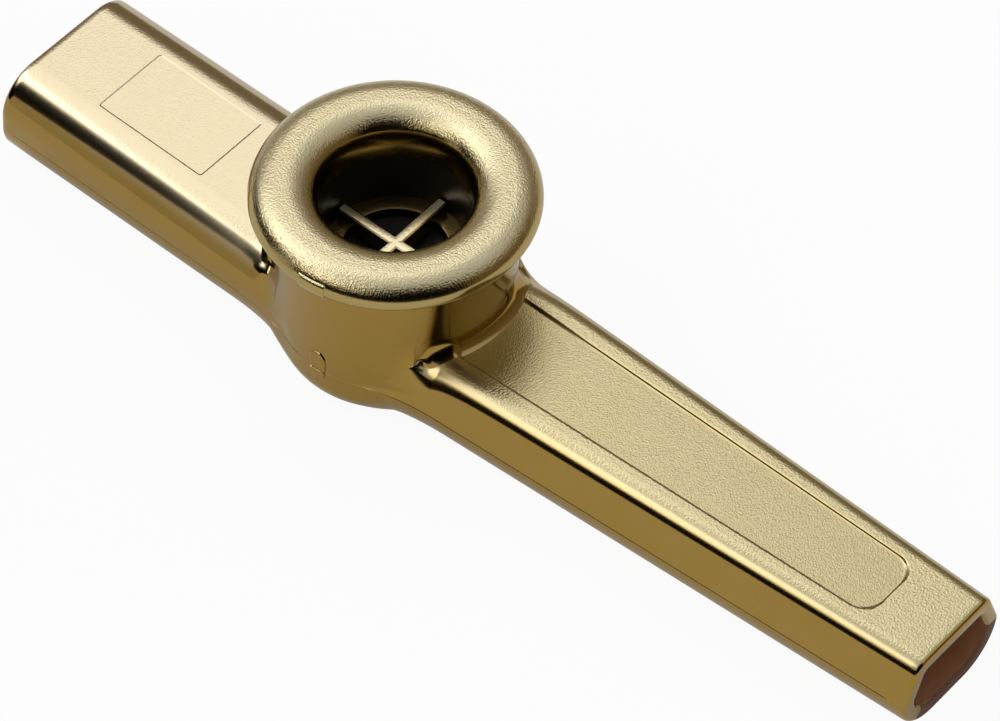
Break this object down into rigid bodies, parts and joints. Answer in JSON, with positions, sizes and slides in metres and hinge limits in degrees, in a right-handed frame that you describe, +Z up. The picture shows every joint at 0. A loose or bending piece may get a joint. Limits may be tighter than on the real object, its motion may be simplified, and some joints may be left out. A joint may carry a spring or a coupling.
{
  "type": "kazoo",
  "caption": "Moulded plastic kazoo: flattened tapering body in two shells, round turret with a flanged lift-out cap, cross-bar guard and buzzing film.",
  "frame": {"origin": "on the resting plane, under the axis of the turret", "axes": "+X along the body from the turret to the narrow tail, +Y across the body, +Z up along the turret's axis"},
  "size_m": [0.1212, 0.0308, 0.0236],
  "materials": {
    "body_gold": "bright metallised gold, satin grain on the top and smooth sides",
    "cap_gold": "bright metallised gold, satin grain on the flange and a smooth throat",
    "guard_gold": "bright metallised gold",
    "film_clear": "thin clear film"
  },
  "bodies": {
    "body": {"lower_shell": "body_gold", "upper_shell": "body_gold", "membrane_guard": "guard_gold", "membrane": "film_clear"},
    "cap": {"turret_cap": "cap_gold"}
  },
  "joints": [
    {"name": "cap_lift", "type": "slide", "parent": "body", "child": "cap", "axis": [0, 0, 1], "range_m": [0, 0.014]}
  ]
}
